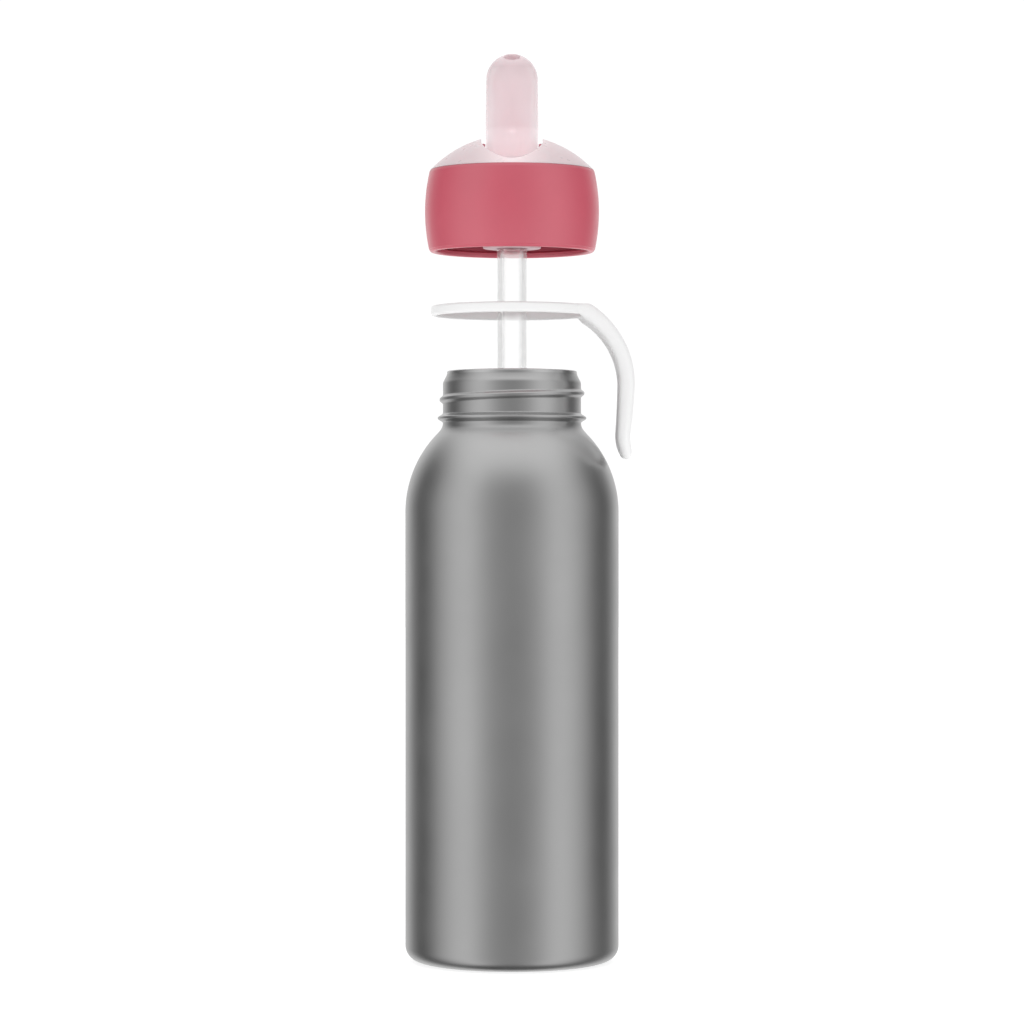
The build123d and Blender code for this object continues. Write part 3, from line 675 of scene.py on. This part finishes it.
def make_spout():
    bore = [(0.9, -4.8), (3.4, -4.6), (3.4, 3.6), (SPOUT_BORE_R, 4.8)]
    bore += [(SPOUT_BORE_R, SPOUT_LENGTH)]
    bore += arc(0, SPOUT_LENGTH - 0.6, SPOUT_BORE_R, 8, 58, 8)
    bore += [(TIP_HOLE_R, SPOUT_LENGTH + 5.5)]
    hole_top = SPOUT_LENGTH + math.sqrt(SPOUT_R**2 - TIP_HOLE_R**2)
    tip = [(TIP_HOLE_R, hole_top - 0.5), (TIP_HOLE_R + 0.1, hole_top - 0.18)]
    tip += [(TIP_HOLE_R + 0.3, hole_top - 0.08)]
    start = math.degrees(math.asin((TIP_HOLE_R + 0.45) / SPOUT_R))
    outside = arc(0, SPOUT_LENGTH, SPOUT_R, 90 - start, 0, 20)
    foot_r, foot_z = SPOUT_FOOT
    outside += [(foot_r - 0.02, foot_z + 2.2), (foot_r, foot_z), (foot_r - 0.05, foot_z - 1.2)]
    outside += [(SPOUT_R + 0.12, 5.2), (SPOUT_R, 3.6)]
    outside += arc(0, 0, SPOUT_R, 0, -83, 20)
    verts, faces = lathe_mesh(bore + tip + outside, True, 128)
    spout = new_piece("flip_spout", lean(verts), faces, "spout", ["spout"])
    paint(spout, BLUSH_SPOUT)


def make_bell():
    wall = [(1.3, 4.9), (5.8, 4.9), (5.8, 6.9), (5.55, 7.6), (4.9, 8.6), (4.0, 9.6)]
    wall += [(3.0, 10.5), (2.3, 10.9), (1.7, 11.0), (1.3, 10.8)]
    verts, faces = lathe_mesh(wall, True, 96)
    bell = new_piece("spout_bell", lean(verts), faces, "spout", ["spout_insert"])
    paint(bell, BELL_SILICONE)


# ---- dome: a thin shell with the slot cut out ----------------------------------------------------
DOME_R = 34.33
DOME_WALL = 1.8
DOME_CENTRE_Z = 217.8
DOME_SKIRT_R = 22.6
DOME_FOOT_R = 23.9
TROUGH_FRONT = 9.45  # half width of the slot over the lying spout
TROUGH_FRONT_DEPTH = 14.2  # of its rounded front end
TROUGH_FRONT_Y = -9.3
TROUGH_BACK = 8.22  # half width beside the hub
TROUGH_STEP_Y = 7.0


def slot_outline(steps=32):
    """The slot seen from above, anticlockwise."""
    front, back = TROUGH_FRONT, TROUGH_BACK
    points = []
    for i in range(steps + 1):
        angle = math.radians(180 + 180 * i / steps)
        y = TROUGH_FRONT_Y + TROUGH_FRONT_DEPTH * math.sin(angle)
        points.append((front * math.cos(angle), y))
    step = [(front, TROUGH_STEP_Y - 0.6), (back + 0.35, TROUGH_STEP_Y), (back, TROUGH_STEP_Y + 0.8)]
    points += step
    for i in range(steps + 1):
        angle = math.radians(180 * i / steps)
        points.append((back * math.cos(angle), PIVOT.y + back * math.sin(angle)))
    return points + [(-x, y) for x, y in reversed(step)]


def make_slot_cutter():
    """A tall block with the slot's outline."""
    outline = slot_outline()
    count = len(outline)
    verts = [(x * MM, y * MM, z * MM) for z in (225.0, 265.0) for x, y in outline]
    faces = [(i, (i + 1) % count, count + (i + 1) % count, count + i) for i in range(count)]
    faces += [tuple(reversed(range(count))), tuple(range(count, 2 * count))]
    mesh = bpy.data.meshes.new("slot_cutter")
    mesh.from_pydata(verts, [], faces)
    cutter = bpy.data.objects.new("slot_cutter", mesh)
    bpy.context.scene.collection.objects.link(cutter)
    clean(cutter)
    return cutter


def make_dome():
    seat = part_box("dome_cover")[0].z / MM
    edge_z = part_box("cap_collar")[1].z / MM + 0.05
    inner_r = DOME_R - DOME_WALL
    edge_angle = math.degrees(math.asin((edge_z - DOME_CENTRE_Z) / DOME_R))
    skirt_angle = math.degrees(math.acos(DOME_SKIRT_R / inner_r))
    profile = arc(0, DOME_CENTRE_Z, DOME_R, edge_angle, 90, 40)
    profile[-1] = (0, DOME_CENTRE_Z + DOME_R)
    under = arc(0, DOME_CENTRE_Z, inner_r, 90, skirt_angle, 40)
    under[0] = (0, DOME_CENTRE_Z + inner_r)
    profile += under + [(DOME_SKIRT_R, seat), (DOME_FOOT_R, seat), (DOME_FOOT_R, edge_z)]
    dome = lathe("dome_shell", profile, "cap", ["dome_cover"], steps=256)

    cutter = make_slot_cutter()
    cut = dome.modifiers.new("slot", "BOOLEAN")
    cut.operation = "DIFFERENCE"
    cut.solver = "EXACT"
    cut.object = cutter
    soften = dome.modifiers.new("edges", "BEVEL")
    soften.width = 0.4 * MM
    soften.segments = 3
    soften.limit_method = "ANGLE"
    soften.angle_limit = math.radians(50)
    apply_modifiers(dome, 40)
    bpy.data.objects.remove(cutter)
    paint(dome, BLUSH_SHELL)
    # the upright walls of the slot are painted a darker rose: painted shade for the shadow inside
    # the slot's walls
    dome.data.materials.append(SHADED_SLOT_ROSE)
    for face in dome.data.polygons:
        middle = face.center / MM
        upright = abs(face.normal.z) < 0.35
        face.material_index = int(upright and middle.z > 240 and middle.xy.length < 25)
    round_off(dome, Vector((0, 0, DOME_CENTRE_Z)), DOME_R)


def round_off(piece, centre, radius):
    """Exact round shading on the faces of a mesh that lie on a sphere."""
    mesh = piece.data
    normals = [corner.vector.copy() for corner in mesh.corner_normals]
    for face in mesh.polygons:
        rays = [mesh.vertices[i].co / MM - centre for i in face.vertices]
        if all(abs(ray.length - radius) < 0.02 for ray in rays):
            for loop, ray in zip(face.loop_indices, rays):
                normals[loop] = ray.normalized()
    mesh.normals_split_custom_set(normals)


# ---- straw and adapter ---------------------------------------------------------------------------
STRAW_BORE_R = 3.55
ADAPTER_BORE_R = 4.65
ADAPTER_TUBE_R = 6.6


def make_straw():
    low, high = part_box("straw")
    bottom, top = low.z / MM, high.z / MM
    edge = 0.3
    outer_r, inner_r = high.x / MM - edge, STRAW_BORE_R + edge
    profile = arc(outer_r, bottom + edge, edge, -90, 0, 4)
    profile += arc(outer_r, top - edge, edge, 0, 90, 4)
    profile += arc(inner_r, top - edge, edge, 90, 180, 4)
    profile += arc(inner_r, bottom + edge, edge, 180, 270, 4)
    straw = lathe("drinking_straw", profile, "straw", ["straw"], steps=96)
    paint(straw, CLEAR_STRAW)


def make_adapter():
    low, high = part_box("straw_adapter")
    bottom, top = low.z / MM, high.z / MM
    flange_round = 0.45
    flange_r = high.x / MM - flange_round
    flange_height = 1.4
    stop_height = 1.1  # of the ring that the straw is pushed up to
    profile = [(ADAPTER_BORE_R, bottom + 0.3), (ADAPTER_BORE_R + 0.3, bottom)]
    profile += arc(flange_r, bottom + flange_round, flange_round, -90, 0, 5)
    profile += arc(flange_r, bottom + flange_height - flange_round, flange_round, 0, 90, 5)
    profile += [(ADAPTER_TUBE_R + 0.4, bottom + flange_height), (ADAPTER_TUBE_R, bottom + 1.8)]
    profile += [(ADAPTER_TUBE_R, top - 0.3), (ADAPTER_TUBE_R - 0.3, top), (STRAW_BORE_R, top)]
    profile += [(STRAW_BORE_R, top - stop_height), (ADAPTER_BORE_R, top - stop_height)]
    adapter = lathe("straw_holder", profile, "adapter", ["straw_adapter"], steps=128)
    paint(adapter, BLUSH_PLASTIC)


# ---- CAD pieces that stay as they are ------------------------------------------------------------
def finish_cad(node, material):
    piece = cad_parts[node]
    paint(piece, material)
    bm = bmesh.new()
    bm.from_mesh(piece.data)
    shade(bm, 35)
    bm.to_mesh(piece.data)
    bm.free()


# ---- camera, lights and floor --------------------------------------------------------------------
def make_camera():
    camera = bpy.data.cameras.new("camera")
    camera.sensor_width = 36.0
    camera.lens = 119.53
    camera.clip_start = 0.01
    placed = bpy.data.objects.new("camera", camera)
    placed.location = (0.0, -1.040, 0.1369)
    placed.rotation_euler = (math.radians(90), 0.0, 0.0)
    bpy.context.scene.collection.objects.link(placed)
    bpy.context.scene.camera = placed


def make_world():
    """Soft studio light all round: two broad soft boxes in front, darker flanks, bright behind."""
    world = bpy.data.worlds.new("studio")
    bpy.context.scene.world = world
    world.use_nodes = True
    tree = world.node_tree
    tree.nodes.clear()
    out = tree.nodes.new("ShaderNodeOutputWorld")
    light = tree.nodes.new("ShaderNodeBackground")
    backdrop = tree.nodes.new("ShaderNodeBackground")
    backdrop.inputs["Color"].default_value = (1, 1, 1, 1)
    backdrop.inputs["Strength"].default_value = 1.05
    choose = tree.nodes.new("ShaderNodeMixShader")
    path = tree.nodes.new("ShaderNodeLightPath")
    place = tree.nodes.new("ShaderNodeTexCoord")
    split = tree.nodes.new("ShaderNodeSeparateXYZ")
    tree.links.new(place.outputs["Generated"], split.inputs["Vector"])

    def math_node(operation, first, second=None):
        node = tree.nodes.new("ShaderNodeMath")
        node.operation = operation
        for socket, value in zip(node.inputs, (first, second)):
            if value is None:
                continue
            if isinstance(value, (int, float)):
                socket.default_value = value
            else:
                tree.links.new(value, socket)
        return node.outputs["Value"]

    flat = math_node(
        "SQRT",
        math_node(
            "ADD",
            math_node("MULTIPLY", split.outputs["X"], split.outputs["X"]),
            math_node("MULTIPLY", split.outputs["Y"], split.outputs["Y"]),
        ),
    )
    front = math_node("DIVIDE", split.outputs["Y"], math_node("MAXIMUM", flat, 1e-4))
    # 0 is the light from the front, 1 from behind
    share = math_node("MULTIPLY_ADD", front, 0.5)
    share.node.inputs[2].default_value = 0.5
    ramp = tree.nodes.new("ShaderNodeValToRGB")
    tree.links.new(share, ramp.inputs["Fac"])
    # angle from the front in degrees, and the light's strength there
    stops = [(0, 0.31), (22, 0.41), (45, 0.80), (62, 0.78), (84, 0.48)]
    stops += [(100, 0.17), (118, 0.08), (132, 0.30), (150, 0.74), (180, 0.86)]
    elements = ramp.color_ramp.elements
    while len(elements) > 1:
        elements.remove(elements[-1])
    for index, (degrees, value) in enumerate(stops):
        position = (1 - math.cos(math.radians(degrees))) / 2
        element = elements[0] if index == 0 else elements.new(position)
        element.position = position
        element.color = (value, value, value, 1)

    def blend(start, end, under, value):
        """The light below blended over to a plain grey between two heights of direction."""
        reach = tree.nodes.new("ShaderNodeMapRange")
        reach.interpolation_type = "SMOOTHSTEP"
        reach.inputs["From Min"].default_value = start
        reach.inputs["From Max"].default_value = end
        tree.links.new(split.outputs["Z"], reach.inputs["Value"])
        mix = tree.nodes.new("ShaderNodeMix")
        mix.data_type = "RGBA"
        tree.links.new(reach.outputs["Result"], mix.inputs[0])
        tree.links.new(under, mix.inputs[6])
        mix.inputs[7].default_value = (value, value, value, 1)
        return mix.outputs[2]

    # evenly bright overhead, dark straight below
    lit = blend(0.4, 0.9, ramp.outputs["Color"], 0.92)
    lit = blend(-0.80, -0.97, lit, 0.1)
    tree.links.new(lit, light.inputs["Color"])
    light.inputs["Strength"].default_value = 1.2
    tree.links.new(path.outputs["Is Camera Ray"], choose.inputs["Fac"])
    tree.links.new(light.outputs["Background"], choose.inputs[1])
    tree.links.new(backdrop.outputs["Background"], choose.inputs[2])
    tree.links.new(choose.outputs["Shader"], out.inputs["Surface"])


def make_floor():
    size = 3.0
    mesh = bpy.data.meshes.new("floor")
    corners = [(-size, -size, 0), (size, -size, 0), (size, size, 0), (-size, size, 0)]
    mesh.from_pydata(corners, [], [(0, 1, 2, 3)])
    floor = bpy.data.objects.new("floor", mesh)
    floor.location = (0, 0, -0.0003)
    bpy.context.scene.collection.objects.link(floor)
    look = plastic_look("floor_paper", (0.5, 0.5, 0.5), 0.9, 300, 0.01, 0.02)
    look.set("Emission Color", (1, 1, 1, 1))
    look.set("Emission Strength", 0.8)
    look.set("Specular IOR Level", 0.0)
    paint(floor, look.material)
    floor.visible_glossy = False
    floor.visible_transmission = False


make_camera()
make_world()
make_floor()
bpy.context.scene.view_settings.view_transform = "Standard"

make_shell()
make_liner()
make_carry_ring()
make_collar()
make_dome()
make_spout()
make_bell()
make_straw()
make_adapter()
for cad_node, cad_material in {
    "base_cup": LINER_STEEL,
    "base_disc": SATIN_STEEL,
    "getter": GETTER_METAL,
    "vacuum_seal": GLASS_SOLDER,
    "cap_core": DEEP_ROSE,
    "hinge_pins": DEEP_ROSE,
    "spout_seal": CLEAR_SILICONE,
    "vent_valve": CLEAR_SILICONE,
    "neck_gasket": CLEAR_SILICONE,
    "adapter_o_ring": CLEAR_SILICONE,
}.items():
    finish_cad(cad_node, cad_material)
